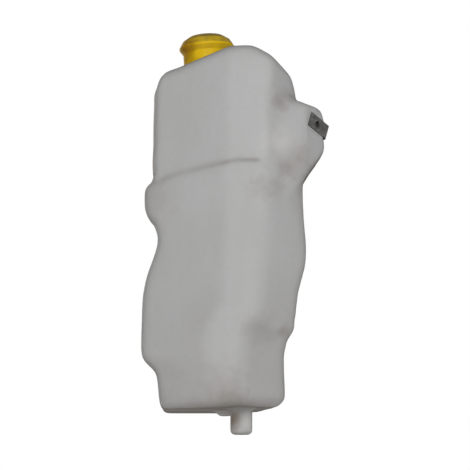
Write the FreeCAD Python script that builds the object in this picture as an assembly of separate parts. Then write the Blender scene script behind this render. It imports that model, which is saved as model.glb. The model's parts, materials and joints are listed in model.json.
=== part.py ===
# Windscreen washer reservoir: a blow-moulded tank with a push-on filler cap, a spring nut on its
# fixing lug, a locating peg underneath and a rubber grommet for the pump low on its back.
# Millimetres. Z is up, the front of the tank faces -Y, and the locating peg stands on the Z axis.
# Z is 0 on the underside of the tank, where the peg starts.

import FreeCAD
import Part

import math
import os
from collections import namedtuple

from FreeCAD import Matrix, Placement, Rotation, Vector

# Tank wall and plan.
# The plan has six sides: a flat back, two side walls that close in towards the back, and a bowed
# front of three facets: a left facet, a narrow band that faces forwards and a right facet.
WALL = 2.2
BACK = 57.0
LEFT_EDGE_FRONT = 22.0
RIGHT_EDGE_FRONT = 20.0
BAND_SKEW = 3.0
FOOT_TAPER = 1.0
HEEL_TAPER = 6.0
LEFT_TAPER = 8.0
RIGHT_TAPER = 26.0
BACK_RADIUS = 11.0
LEFT_RADIUS = 14.0
BAND_RADIUS = 30.0
RIGHT_RADIUS = 16.0
STRIP_STEP = 5.5
HOLLOW_STRIP_STEP = 12.0
ROUNDING_STEPS = 3

# Heights of the lower body's levels, each above the one before it.
SOLE_ROUND = 12.0
FOOT_HEIGHT = 20.5
HEEL_RISE = 19.0
KNEE_HEIGHT = 13.0
SCOOP_RISE = 25.0
LAP_RISE = 24.0
HIP_RISE = 30.0
WAIST_RISE = 30.0
SHOULDER_RISE = 44.0
BROW_RISE = 14.5
CREASE_RISE = 10.5

# Reach of the lower body to the left and to the right of the peg, level by level.
SOLE_INSET = 4.5
FOOT_LEFT = 82.5
FOOT_RIGHT = 47.0
HEEL_LEFT = 85.0
HEEL_RIGHT = 46.0
KNEE_LEFT = 101.0
KNEE_RIGHT = 45.5
SCOOP_RIGHT = 48.5
LAP_RIGHT = 57.0
BELLY_LEFT = 100.0
BELLY_RIGHT = 59.5
HIP_LEFT = 90.5
HIP_RIGHT = 67.0
WAIST_LEFT = 84.5
WAIST_RIGHT = 66.5
SHOULDER_LEFT = 99.0
SHOULDER_RIGHT = 64.5
CREASE_INSET = 8.5
CREASE_SLOPE = 0.177

# The band on the front: how far forward it stands and where its two edges run.
FOOT_FRONT = 56.0
LAP_FRONT = 58.5
BODY_FRONT = 58.0
FOOT_BAND_LEFT = -37.0
FOOT_BAND_RIGHT = -1.0
LAP_BAND_LEFT = -25.0
LAP_BAND_RIGHT = 15.0
BODY_BAND_LEFT = -14.0
BODY_BAND_RIGHT = 17.0
SHOULDER_BAND_RIGHT = 31.0

# Upper body, with a roof that falls to both sides and towards the back.
UPPER_LEFT = 90.5
UPPER_RIGHT = 57.0
UPPER_FRONT = 55.5
UPPER_BACK = 54.0
UPPER_BAND_LEFT = -12.0
UPPER_BAND_RIGHT = 27.0
UPPER_ROUND = 12.0
UPPER_HEIGHT = 124.5
CREST_LEFT = -10.0
CREST_RIGHT = 12.0
LEFT_EAVE_REACH = 68.0
LEFT_EAVE_DROP = 15.0
RIGHT_EAVE_REACH = 35.0
RIGHT_EAVE_DROP = 20.5
CHEEK_DROP = 22.0
ROOF_FALL = 0.3

# Filler neck.
NECK_X = -33.5
NECK_Y = 10.0
NECK_DROP = 21.7
NECK_LEAN = 4.0
NECK_RADIUS = 20.0
NECK_WALL = 2.5
NECK_LENGTH = 27.0
NECK_ROOT = 25.0
LIP_WIDTH = 1.5
LIP_HEIGHT = 4.0

# Filler cap.
CAP_TOP_RADIUS = 17.5
CAP_SHOULDER_RADIUS = 24.3
CAP_SHOULDER_DROP = 4.5
CAP_CROWN_HEIGHT = 11.0
CAP_BRIM_RADIUS = 28.2
CAP_BRIM_EDGE = 1.6
CAP_BRIM_DROP = 1.4
CAP_BRIM_COVE = 5.0
CAP_WALL = 2.2
CAP_SKIRT_LENGTH = 19.0
CAP_GAP = 0.9
CAP_SEAT_GAP = 0.2
PLUG_LENGTH = 6.0
PLUG_WALL = 2.0
PLUG_GAP = 0.3

# Locating peg and the rest pad beside it.
PEG_RADIUS = 11.2
PEG_LENGTH = 26.0
PEG_BLUNT = 3.0
PEG_WALL = 3.0
PAD_X = -15.0
PAD_Y = 25.0
PAD_RADIUS = 12.0
PAD_TIP_RADIUS = 7.0
PAD_HEIGHT = 5.0

# Fixing lug on the right, measured down from the crest of the roof and out from the peg axis.
LUG_DROP = 58.5
LUG_HEIGHT = 104.0
LUG_BROW_HEIGHT = 10.5
LUG_CHEEK_HEIGHT = 20.0
LUG_CHIN_HEIGHT = 49.0
LUG_LIP_HEIGHT = 57.0
LUG_ROOT = 30.0
LUG_SEAT = 48.0
LUG_NECK = 59.0
LUG_CHEEK = 80.5
LUG_REACH = 84.5
LUG_FRONT = 36.0
LUG_FRONT_TURN = 20.0
LUG_FACET_START = 64.0
LUG_FACET_TURN = 47.0
LUG_FLANK = 13.0
LUG_HEEL = 12.0
LUG_ROUND = 8.0
LUG_WALL = 4.5
TAB_THICKNESS = 3.0
TAB_HOLE_RADIUS = 4.6
SLOT_CLEARANCE = 1.0
BOLT_ROOM = 8.0

# Spring nut, folded over the edge of the lug's tab.
NUT_ALONG = 18.0
NUT_DROP = 23.5
NUT_SLANT = 22.0
NUT_WIDTH = 15.0
NUT_LEG = 12.0
NUT_FOLD = 15.0
NUT_SHEET = 1.0
NUT_GAP = 0.2
NUT_CLEAR_RADIUS = 3.4
NUT_THREAD_RADIUS = 2.5
NUT_BARREL_RADIUS = 4.2
NUT_BARREL_HEIGHT = 3.0

# Pump seat low on the back, and the grommet in it.
PUMP_X = -30.0
PUMP_Z = 40.0
PUMP_BOSS_RADIUS = 18.0
PUMP_BOSS_HEIGHT = 1.5
GROMMET_BORE_RADIUS = 7.0
GROMMET_NECK_RADIUS = 10.0
GROMMET_FLANGE_RADIUS = 14.0
GROMMET_FLANGE = 3.0
GROMMET_LIP_RADIUS = 12.0
GROMMET_LIP = 5.0
GROMMET_GAP = 0.1

FINE = 0.01

Level = namedtuple("Level", "height left right band_left band_right front taper slope")

Y_AXIS = Vector(0, 1, 0)
Z_AXIS = Vector(0, 0, 1)
ORIGIN = Vector(0, 0, 0)


def lower_levels():
    """The named levels of the lower body, from the underside up to the crease."""
    foot_band = (FOOT_BAND_LEFT, FOOT_BAND_RIGHT)
    body_band = (BODY_BAND_LEFT, BODY_BAND_RIGHT)
    lap_band = (LAP_BAND_LEFT, LAP_BAND_RIGHT)
    top_band = (BODY_BAND_LEFT, SHOULDER_BAND_RIGHT)
    top_sizes = (SHOULDER_LEFT, SHOULDER_RIGHT, *top_band, BODY_FRONT, LEFT_TAPER, CREASE_SLOPE)
    rows = [
        (SOLE_ROUND, FOOT_LEFT, FOOT_RIGHT, *foot_band, FOOT_FRONT, FOOT_TAPER, 0),
        (FOOT_HEIGHT, HEEL_LEFT, HEEL_RIGHT, *foot_band, FOOT_FRONT, HEEL_TAPER, 0),
        (HEEL_RISE, KNEE_LEFT, KNEE_RIGHT, *foot_band, FOOT_FRONT, LEFT_TAPER, 0),
        (KNEE_HEIGHT, KNEE_LEFT, SCOOP_RIGHT, *foot_band, FOOT_FRONT, LEFT_TAPER, 0),
        (SCOOP_RISE, KNEE_LEFT, LAP_RIGHT, *lap_band, LAP_FRONT, LEFT_TAPER, 0),
        (LAP_RISE, BELLY_LEFT, BELLY_RIGHT, *body_band, BODY_FRONT, LEFT_TAPER, 0),
        (HIP_RISE, HIP_LEFT, HIP_RIGHT, *body_band, BODY_FRONT, LEFT_TAPER, 0),
        (WAIST_RISE, WAIST_LEFT, WAIST_RIGHT, *body_band, BODY_FRONT, LEFT_TAPER, 0),
        (SHOULDER_RISE, *top_sizes),
        (BROW_RISE, *top_sizes),
    ]
    levels = []
    height = 0.0
    for rise, *sizes in rows:
        height += rise
        levels.append(Level(height, *sizes))
    return levels


LEVELS = lower_levels()
SHOULDER_TOP = LEVELS[-2].height
BROW_TOP = LEVELS[-1].height
CREASE_TOP = BROW_TOP + CREASE_RISE
CREST = CREASE_TOP + UPPER_HEIGHT


def gentle_slope(before, here, after, field):
    """Slope of one size at a level: level at its peaks and dips, so that the skin never bulges past."""
    below = (here[field] - before[field]) / (here.height - before.height)
    above = (after[field] - here[field]) / (after.height - here.height)
    if below * above <= 0:
        return 0.0
    return 2 * below * above / (below + above)


def level_at(height):
    """All sizes of the lower body at any height, eased from one named level to the next."""
    height = min(max(height, LEVELS[0].height), LEVELS[-1].height)
    upper = next(i for i in range(1, len(LEVELS)) if height <= LEVELS[i].height)
    low, high = LEVELS[upper - 1], LEVELS[upper]
    before = LEVELS[max(upper - 2, 0)]
    after = LEVELS[min(upper + 1, len(LEVELS) - 1)]
    span = high.height - low.height
    t = (height - low.height) / span
    sizes = [height]
    for field in range(1, len(Level._fields)):
        leave = gentle_slope(before, low, high, field) if upper > 1 else 0.0
        reach = gentle_slope(low, high, after, field) if upper < len(LEVELS) - 1 else 0.0
        value = (1 + 2 * t) * (1 - t) ** 2 * low[field] + t * t * (3 - 2 * t) * high[field]
        value += span * (t * (1 - t) ** 2 * leave - t * t * (1 - t) * reach)
        sizes.append(value)
    return Level(*sizes)


def plan_points(left, right, band_left, band_right, front, taper, back):
    """The six corners of the tank's plan, anticlockwise from the left back corner."""
    return [
        (-left + taper, back),
        (-left, -LEFT_EDGE_FRONT),
        (band_left, -front + BAND_SKEW),
        (band_right, -front),
        (right, -RIGHT_EDGE_FRONT),
        (right - RIGHT_TAPER, back),
    ]


def inset_points(points, distance):
    """Move every side of an anticlockwise polygon inwards by a distance."""
    sides = []
    for start, end in zip(points, points[1:] + points[:1]):
        along = Vector(end[0] - start[0], end[1] - start[1], 0).normalize()
        inward = Vector(-along.y, along.x, 0)
        sides.append((Vector(start[0], start[1], 0) + inward * distance, along))
    moved = []
    for before, after in zip(sides[-1:] + sides[:-1], sides):
        turn = before[1].cross(after[1]).z
        reach = (after[0] - before[0]).cross(after[1]).z / turn
        corner = before[0] + before[1] * reach
        moved.append((corner.x, corner.y))
    return moved


def rounded_loop(points, radii, bowed):
    """A closed wire along a convex polygon, each corner eased by an arc, or by a chord if not bowed."""
    corners = [Vector(x, y, 0) for x, y in points]
    following = corners[1:] + corners[:1]
    arcs = []
    for before, corner, after, radius in zip(corners[-1:] + corners, corners, following, radii):
        back = (before - corner).normalize()
        ahead = (after - corner).normalize()
        half = back.getAngle(ahead) / 2
        reach = radius / math.tan(half)
        middle = corner + (back + ahead).normalize() * (radius / math.sin(half) - radius)
        arcs.append((corner + back * reach, middle, corner + ahead * reach))
    edges = []
    for arc, next_arc in zip(arcs, arcs[1:] + arcs[:1]):
        ease = Part.Arc(*arc) if bowed else Part.LineSegment(arc[0], arc[2])
        edges.append(ease.toShape())
        edges.append(Part.LineSegment(arc[2], next_arc[0]).toShape())
    return Part.Wire(edges)


def lower_section(level, height, inset, bowed):
    """One cross-section of the lower body, set at a height and tipped by the level's slope."""
    points = plan_points(*level[1:7], BACK)
    radii = [BACK_RADIUS, LEFT_RADIUS, BAND_RADIUS, BAND_RADIUS, RIGHT_RADIUS, BACK_RADIUS]
    radii = [max(radius - inset, radius / 3) for radius in radii]
    tip = Matrix()
    tip.A31 = level.slope
    tip.A34 = height
    return rounded_loop(inset_points(points, inset), radii, bowed).transformGeometry(tip)


def lower_body(skin, strip_step, bowed):
    """The lower body, with its skin moved inwards by a distance.

    A quarter ellipse rounds the underside, another rounds the brow under the crease. Between two
    levels there is one strip for each step that the size which changes most takes.
    """
    quarter = [math.pi / 2 * step / ROUNDING_STEPS for step in range(ROUNDING_STEPS, 0, -1)]
    sections = []
    for angle in quarter:
        height = SOLE_ROUND - (SOLE_ROUND - skin) * math.sin(angle)
        inset = skin + (SOLE_INSET - skin) * (1 - math.cos(angle))
        sections.append(lower_section(LEVELS[0], height, inset, bowed))
    for low, high in zip(LEVELS, LEVELS[1:]):
        change = max(abs(above - below) for below, above in zip(low[1:], high[1:]))
        strips = max(math.ceil(change / strip_step), 1)
        for strip in range(strips):
            height = low.height + (high.height - low.height) * strip / strips
            sections.append(lower_section(level_at(height), height, skin, bowed))
    for angle in reversed([*quarter, 0.0]):
        height = BROW_TOP + (CREASE_RISE - skin) * math.sin(angle)
        inset = skin + (CREASE_INSET - skin) * (1 - math.cos(angle))
        sections.append(lower_section(LEVELS[-1], height, inset, bowed))
    return Part.makeLoft(sections, True, True)


def flat_face(points, place):
    """A flat face whose corners are put in space by a placing function."""
    return Part.Face(Part.makePolygon([place(*point) for point in points + points[:1]]))


def faceted_block(plan, elevation, bottom, inset, fall, hinge):
    """A block that fills both a plan, seen from above, and an elevation, seen from the front.

    Both outlines are first moved inwards, and the elevation falls towards the back from the hinge line.
    """
    tall = 2 * CREST
    deep = 4 * BACK
    core = flat_face(inset_points(plan, inset), lambda x, y: Vector(x, y, bottom))
    core = core.extrude(Z_AXIS * tall)
    front = hinge - deep / 2
    face = flat_face(
        inset_points(elevation, inset), lambda x, z: Vector(x, front, z + fall * deep / 2)
    )
    return core.common(face.extrude(Vector(0, deep, -fall * deep))).Solids[0]


def rolled(core, radius):
    """A block grown by a radius with every edge rounded alike, as if a ball had rolled over it."""
    return core.makeOffsetShape(radius, FINE, False, False, 0, 0)


def upper_body(skin):
    """The upper body, which stands in the lower one from the shoulder upwards."""
    band = (UPPER_BAND_LEFT, UPPER_BAND_RIGHT)
    plan = plan_points(UPPER_LEFT, UPPER_RIGHT, *band, UPPER_FRONT, LEFT_TAPER, UPPER_BACK)
    left_eave = CREST_LEFT - LEFT_EAVE_REACH
    right_eave = CREST_RIGHT + RIGHT_EAVE_REACH
    elevation = [
        (-UPPER_LEFT, 0),
        (UPPER_RIGHT, 0),
        (UPPER_RIGHT, CREST - RIGHT_EAVE_DROP - CHEEK_DROP),
        (right_eave, CREST - RIGHT_EAVE_DROP),
        (CREST_RIGHT, CREST),
        (CREST_LEFT, CREST),
        (left_eave, CREST - LEFT_EAVE_DROP),
        (-UPPER_LEFT, CREST - LEFT_EAVE_DROP - CHEEK_DROP),
    ]
    core = faceted_block(plan, elevation, SHOULDER_TOP, UPPER_ROUND, ROOF_FALL, -UPPER_FRONT)
    return rolled(core, UPPER_ROUND - skin)


def lug_core(inset):
    """The fixing lug on the right flank, with a facet for the spring nut, moved inwards."""
    root_front = -LUG_FRONT - (LUG_FACET_START - LUG_ROOT) * math.tan(math.radians(LUG_FRONT_TURN))
    facet_end = -LUG_FRONT + (LUG_REACH - LUG_FACET_START) * math.tan(math.radians(LUG_FACET_TURN))
    flank_end = facet_end + LUG_FLANK
    plan = [
        (LUG_ROOT, flank_end + LUG_HEEL),
        (LUG_ROOT, root_front),
        (LUG_FACET_START, -LUG_FRONT),
        (LUG_REACH, facet_end),
        (LUG_REACH, flank_end),
        (LUG_REACH - LUG_HEEL, flank_end + LUG_HEEL),
    ]
    top = CREST - LUG_DROP
    bottom = top - LUG_HEIGHT
    elevation = [
        (LUG_ROOT, bottom),
        (LUG_SEAT, bottom),
        (LUG_CHEEK, bottom + LUG_CHIN_HEIGHT),
        (LUG_REACH, bottom + LUG_LIP_HEIGHT),
        (LUG_REACH, top - LUG_CHEEK_HEIGHT),
        (LUG_CHEEK, top - LUG_BROW_HEIGHT),
        (LUG_NECK, top),
        (LUG_ROOT, top),
    ]
    return faceted_block(plan, elevation, bottom - LUG_ROUND, inset, 0, 0)


def nut_place():
    """Frame of the spring nut: X along its strip to the fold, Z out of the lug's facet."""
    turn = math.radians(LUG_FACET_TURN)
    slant = math.radians(NUT_SLANT)
    outward = Vector(math.sin(turn), -math.cos(turn), 0)
    level = Vector(math.cos(turn), math.sin(turn), 0)
    along = level * math.cos(slant) - Z_AXIS * math.sin(slant)
    start = Vector(LUG_FACET_START, -LUG_FRONT, CREST - LUG_DROP - NUT_DROP)
    return Placement(start + level * NUT_ALONG, Rotation(along, outward.cross(along), outward, "ZXY"))


def box_between(low, high):
    return Part.makeBox(high[0] - low[0], high[1] - low[1], high[2] - low[2], Vector(*low))


def nut_depth():
    """How far behind the tab the spring nut reaches."""
    return NUT_GAP + NUT_SHEET + NUT_BARREL_HEIGHT


def lug_slot(spare):
    """Slot behind the lug's tab for the spring nut's back leg, with spare room all round."""
    side = NUT_WIDTH / 2 + SLOT_CLEARANCE + spare
    deepest = -TAB_THICKNESS - nut_depth() - BOLT_ROOM - spare
    start = -NUT_LEG - SLOT_CLEARANCE - spare
    slot = box_between((start, -side, deepest), (2 * LUG_REACH, side, -TAB_THICKNESS + spare))
    slot.Placement = nut_place()
    return slot


def lug_notch(spare):
    """Notch beyond the tab's edge that takes the spring nut's fold."""
    side = NUT_WIDTH / 2 + SLOT_CLEARANCE + spare
    deepest = -TAB_THICKNESS - nut_depth() - BOLT_ROOM - spare
    notch = box_between((NUT_FOLD - spare, -side, deepest), (2 * LUG_REACH, side, LUG_REACH))
    notch.Placement = nut_place()
    return notch


def tab_hole():
    hole = Part.makeCylinder(TAB_HOLE_RADIUS, 2 * TAB_THICKNESS, Vector(0, 0, -1.5 * TAB_THICKNESS))
    hole.Placement = nut_place()
    return hole


def turned(profile):
    """A solid turned about the Z axis from a closed profile of radius and height pairs."""
    return flat_face(profile, lambda r, z: Vector(r, 0, z)).revolve(ORIGIN, Z_AXIS, 360)


def neck_place():
    lean = Rotation(Y_AXIS, -NECK_LEAN)
    return Placement(Vector(NECK_X, NECK_Y, CREST - NECK_DROP), lean)


def neck_body():
    """The filler neck with the lip that the cap sits on."""
    lip = NECK_RADIUS + LIP_WIDTH
    neck = turned([
        (0, -NECK_ROOT),
        (NECK_RADIUS, -NECK_ROOT),
        (NECK_RADIUS, NECK_LENGTH - LIP_HEIGHT - LIP_WIDTH),
        (lip, NECK_LENGTH - LIP_HEIGHT),
        (lip, NECK_LENGTH),
        (0, NECK_LENGTH),
    ])
    neck.Placement = neck_place()
    return neck


def neck_bore():
    bore = Part.makeCylinder(NECK_RADIUS - NECK_WALL, NECK_ROOT + 2 * NECK_LENGTH)
    bore.translate(Vector(0, 0, -NECK_ROOT))
    bore.Placement = neck_place().multiply(bore.Placement)
    return bore


def blunt_rod(radius, length, top, blunt):
    """A rod that hangs down the Z axis from a top height, with its lower rim blunted in two slants."""
    slant = blunt * (1 - math.sqrt(0.5))
    return turned([
        (0, top),
        (0, -length),
        (radius - blunt, -length),
        (radius - slant, slant - length),
        (radius, blunt - length),
        (radius, top),
    ])


def peg_body():
    return blunt_rod(PEG_RADIUS, PEG_LENGTH, WALL, PEG_BLUNT)


def peg_bore():
    radius = PEG_RADIUS - PEG_WALL
    return blunt_rod(radius, PEG_LENGTH - PEG_WALL, 2 * WALL, min(PEG_BLUNT, radius / 2))


def pad_body():
    """The rest pad: a short blunt cone under the tank, beside the peg."""
    pad = turned([
        (0, WALL),
        (0, -PAD_HEIGHT),
        (PAD_TIP_RADIUS, -PAD_HEIGHT),
        (PAD_RADIUS, 0),
        (PAD_RADIUS, WALL),
    ])
    pad.translate(Vector(PAD_X, PAD_Y, 0))
    return pad


def pump_boss():
    return Part.makeCylinder(
        PUMP_BOSS_RADIUS, WALL + PUMP_BOSS_HEIGHT, Vector(PUMP_X, BACK - WALL, PUMP_Z), Y_AXIS
    )


def pump_hole():
    return Part.makeCylinder(
        GROMMET_NECK_RADIUS, 4 * WALL, Vector(PUMP_X, BACK - 2 * WALL, PUMP_Z), Y_AXIS
    )


def make_tank():
    """The blow-moulded tank: one hollow shell with its neck, lug, peg and pads."""
    lug_body = rolled(lug_core(LUG_ROUND), LUG_ROUND)
    outside = lower_body(0, STRIP_STEP, True).fuse(
        [upper_body(0), lug_body, neck_body(), peg_body(), pad_body(), pump_boss()]
    )
    lug_hollow = lug_core(LUG_WALL).cut([lug_slot(WALL), lug_notch(WALL)])
    hollow = lower_body(WALL, HOLLOW_STRIP_STEP, False)
    hollow = hollow.fuse([upper_body(WALL), lug_hollow, neck_bore(), peg_bore()])
    tank = outside.cut(hollow)
    return tank.cut([lug_slot(0), lug_notch(0), tab_hole(), pump_hole()])


def make_cap():
    """The filler cap: a domed crown with a brim, a skirt outside the neck and a plug inside it."""
    seat = NECK_LENGTH + CAP_SEAT_GAP
    brim = seat - CAP_BRIM_DROP
    top = brim + CAP_BRIM_EDGE + CAP_CROWN_HEIGHT
    skirt_inside = NECK_RADIUS + LIP_WIDTH + CAP_GAP
    skirt_outside = skirt_inside + CAP_WALL
    plug_outside = NECK_RADIUS - NECK_WALL - PLUG_GAP
    plug_inside = plug_outside - PLUG_WALL
    cap = turned([
        (0, top),
        (CAP_TOP_RADIUS, top),
        (CAP_SHOULDER_RADIUS, top - CAP_SHOULDER_DROP),
        (CAP_BRIM_RADIUS, brim + CAP_BRIM_EDGE),
        (CAP_BRIM_RADIUS, brim),
        (skirt_outside, brim - CAP_BRIM_COVE),
        (skirt_outside, brim - CAP_SKIRT_LENGTH),
        (skirt_inside, brim - CAP_SKIRT_LENGTH),
        (skirt_inside, seat),
        (plug_outside, seat),
        (plug_outside, seat - PLUG_LENGTH),
        (plug_inside, seat - PLUG_LENGTH),
        (plug_inside, top - CAP_WALL),
        (0, top - CAP_WALL),
    ])
    cap.Placement = neck_place()
    return cap


def make_spring_nut():
    """The spring nut: a strip folded over the tab, with a threaded barrel on its back leg."""
    inner = TAB_THICKNESS / 2 + NUT_GAP
    outer = inner + NUT_SHEET
    side = NUT_WIDTH / 2
    strip = box_between((-NUT_LEG, -side, -outer), (NUT_FOLD, side, outer))
    hollow = box_between((-2 * NUT_LEG, -2 * side, -inner), (NUT_FOLD, 2 * side, inner))
    fold = Part.makeCylinder(outer, NUT_WIDTH, Vector(NUT_FOLD, -side, 0), Y_AXIS)
    fold_hollow = Part.makeCylinder(inner, 4 * side, Vector(NUT_FOLD, -2 * side, 0), Y_AXIS)
    barrel_length = NUT_SHEET + NUT_BARREL_HEIGHT
    barrel = Part.makeCylinder(NUT_BARREL_RADIUS, barrel_length, Vector(0, 0, -inner), -Z_AXIS)
    clear = Part.makeCylinder(NUT_CLEAR_RADIUS, 2 * outer)
    thread = Part.makeCylinder(NUT_THREAD_RADIUS, 2 * barrel_length + outer, ORIGIN, -Z_AXIS)
    nut = strip.fuse([fold, barrel]).cut([hollow, fold_hollow, clear, thread])
    nut.translate(Vector(0, 0, -TAB_THICKNESS / 2))
    nut.Placement = nut_place().multiply(nut.Placement)
    return nut


def make_grommet():
    """The pump grommet: a flange outside, a neck through the wall and a tapered lip inside."""
    wall = WALL + PUMP_BOSS_HEIGHT
    neck = GROMMET_NECK_RADIUS - GROMMET_GAP
    grommet = turned([
        (GROMMET_BORE_RADIUS, GROMMET_FLANGE),
        (GROMMET_FLANGE_RADIUS, GROMMET_FLANGE),
        (GROMMET_FLANGE_RADIUS, 0),
        (neck, 0),
        (neck, -wall - GROMMET_GAP),
        (GROMMET_LIP_RADIUS, -wall - GROMMET_GAP),
        (GROMMET_BORE_RADIUS, -wall - GROMMET_LIP),
    ])
    grommet.Placement = Placement(
        Vector(PUMP_X, BACK + PUMP_BOSS_HEIGHT, PUMP_Z), Rotation(Z_AXIS, Y_AXIS)
    )
    return grommet


def main():
    os.makedirs("parts", exist_ok=True)
    pieces = {
        "tank": make_tank(),
        "filler_cap": make_cap(),
        "spring_nut": make_spring_nut(),
        "pump_grommet": make_grommet(),
    }
    for name, shape in pieces.items():
        solid = shape.Solids[0]
        print(name, "solids", len(shape.Solids), "valid", solid.isValid(), "mm3", round(solid.Volume))
        solid.exportStep(f"parts/{name}.step")


main()
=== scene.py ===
# %% [markdown]
# # A windscreen washer reservoir
# The object is a tall blow-moulded tank in cloudy polyethylene, with a yellow push-on cap, a dark
# spring nut on its fixing lug and a rubber grommet for the pump on its back. Its sizes come from a
# solid model that is loaded first and never moved. Everything below dresses that model: the tank
# gets a soft skin, the small pieces get rounded edges, and each material is built from nodes.

# %% Load the solid model
import json
import math

import bmesh
import bpy
import numpy as np
from mathutils import Matrix, Vector
from mathutils.bvhtree import BVHTree


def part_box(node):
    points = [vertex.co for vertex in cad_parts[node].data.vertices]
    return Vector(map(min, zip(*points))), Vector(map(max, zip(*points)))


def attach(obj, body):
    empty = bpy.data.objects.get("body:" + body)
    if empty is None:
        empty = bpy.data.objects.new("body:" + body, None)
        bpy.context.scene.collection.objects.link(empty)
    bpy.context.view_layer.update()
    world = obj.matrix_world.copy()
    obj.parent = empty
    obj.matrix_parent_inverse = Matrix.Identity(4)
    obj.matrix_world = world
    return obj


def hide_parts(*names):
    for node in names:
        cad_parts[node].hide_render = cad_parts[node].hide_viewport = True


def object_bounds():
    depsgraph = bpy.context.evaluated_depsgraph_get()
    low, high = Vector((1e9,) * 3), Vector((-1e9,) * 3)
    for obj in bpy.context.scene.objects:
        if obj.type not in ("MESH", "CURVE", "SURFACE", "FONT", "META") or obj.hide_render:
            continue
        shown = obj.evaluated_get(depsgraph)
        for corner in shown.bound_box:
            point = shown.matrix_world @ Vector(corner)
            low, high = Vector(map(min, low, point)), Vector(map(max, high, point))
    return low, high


MM = 0.001
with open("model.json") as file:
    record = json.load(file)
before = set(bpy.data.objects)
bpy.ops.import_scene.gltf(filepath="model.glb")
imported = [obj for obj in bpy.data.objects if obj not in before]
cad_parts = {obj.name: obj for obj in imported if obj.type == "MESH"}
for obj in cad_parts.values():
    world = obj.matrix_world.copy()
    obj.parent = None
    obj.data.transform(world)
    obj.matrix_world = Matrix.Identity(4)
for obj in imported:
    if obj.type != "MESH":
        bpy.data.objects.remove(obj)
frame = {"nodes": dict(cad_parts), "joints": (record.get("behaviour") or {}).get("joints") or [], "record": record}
cad_low, cad_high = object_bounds()
nodes = frame["nodes"]
scene = bpy.context.scene
scene.view_settings.view_transform = "Standard"
print("nodes", sorted(nodes), "box", [round(v, 3) for v in (*cad_low, *cad_high)])

# %% [markdown]
# ## Camera
# The picture was taken with a long lens from straight in front and a little below, which shows in the
# underside of the tank. One pixel is one millimetre at the tank, so the lens follows from the distance.

# %% Camera
FRAME_PIXELS = 470
CAMERA_DISTANCE = 2200 * MM
CAMERA_ELEVATION = math.radians(-9.0)
PIXEL = 1.0 * MM
ORIGIN_PIXEL = (241.3, 408.5)
SENSOR = 36.0


def make_camera():
    """A camera whose picture puts the frame's origin on its pixel of the photograph."""
    ahead = Vector((0, math.cos(CAMERA_ELEVATION), -math.sin(CAMERA_ELEVATION)))
    right = Vector((1, 0, 0))
    up = right.cross(ahead)
    middle = FRAME_PIXELS / 2
    target = right * (middle - ORIGIN_PIXEL[0]) * PIXEL + up * (ORIGIN_PIXEL[1] - middle) * PIXEL
    data = bpy.data.cameras.new("camera")
    data.sensor_width = SENSOR
    data.lens = SENSOR * CAMERA_DISTANCE / (FRAME_PIXELS * PIXEL)
    camera = bpy.data.objects.new("camera", data)
    scene.collection.objects.link(camera)
    camera.matrix_world = Matrix.Translation(target - ahead * CAMERA_DISTANCE) @ (
        ahead.to_track_quat("-Z", "Y").to_matrix().to_4x4()
    )
    scene.camera = camera
    return camera


camera = make_camera()
print("camera at", [round(v, 3) for v in camera.location], "lens", round(camera.data.lens, 1))

# %% [markdown]
# ## Helpers for node materials
# A material is a small network. These helpers keep each one readable: they add a node and set its plain
# values, join an output to an input, make one number of two, and turn a colour into a shader's values.

# %% Node helpers


def add_node(tree, kind, **values):
    """A node of a kind, with values for its own settings or for its input sockets."""
    node = tree.nodes.new(kind)
    for name, value in values.items():
        if hasattr(node, name):
            setattr(node, name, value)
        else:
            node.inputs[name.replace("_", " ")].default_value = value
    return node


def join(tree, output, socket):
    tree.links.new(output, socket)


def feed(tree, value, socket):
    """Give a socket a plain value, or join another node's output to it."""
    if isinstance(value, bpy.types.NodeSocket):
        join(tree, value, socket)
    else:
        socket.default_value = value


def combine(tree, operation, first, second):
    """One number made of two."""
    node = add_node(tree, "ShaderNodeMath", operation=operation)
    feed(tree, first, node.inputs[0])
    feed(tree, second, node.inputs[1])
    return node.outputs["Value"]


def new_material(name):
    """An empty material with its output and a Principled BSDF."""
    material = bpy.data.materials.new(name)
    material.use_nodes = True
    tree = material.node_tree
    tree.nodes.clear()
    output = tree.nodes.new("ShaderNodeOutputMaterial")
    shader = tree.nodes.new("ShaderNodeBsdfPrincipled")
    join(tree, shader.outputs["BSDF"], output.inputs["Surface"])
    return material, tree, shader


def srgb(red, green, blue):
    """A colour as a picture shows it, 0 to 255, turned into the linear values that shaders use."""
    linear = []
    for part in (red, green, blue):
        share = part / 255
        linear.append(share / 12.92 if share <= 0.04045 else ((share + 0.055) / 1.055) ** 2.4)
    return (*linear, 1.0)


# %% [markdown]
# ## Stage
# The photograph is a cut-out on white, and even the underside of the tank gets light. So the floor is
# a round light table: pale, glowing a little, and still dark enough for a shadow. It ends where the lamps
# stand, because the floor behind a lamp would be grey. Its back is see-through, so a camera that looks up
# from below still sees the tank. The world is white where the camera and reflections look, and softer
# as a light.

# %% Floor and world
FLOOR_RADIUS = 1.65
FLOOR_SIDES = 96
FLOOR_GAP = 1 * MM
FLOOR_COLOUR = srgb(215, 215, 212)
FLOOR_ROUGHNESS = 0.8
FLOOR_GLOW = 0.38
WORLD_LIGHT = 0.13
WHITE = (1, 1, 1, 1)


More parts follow.
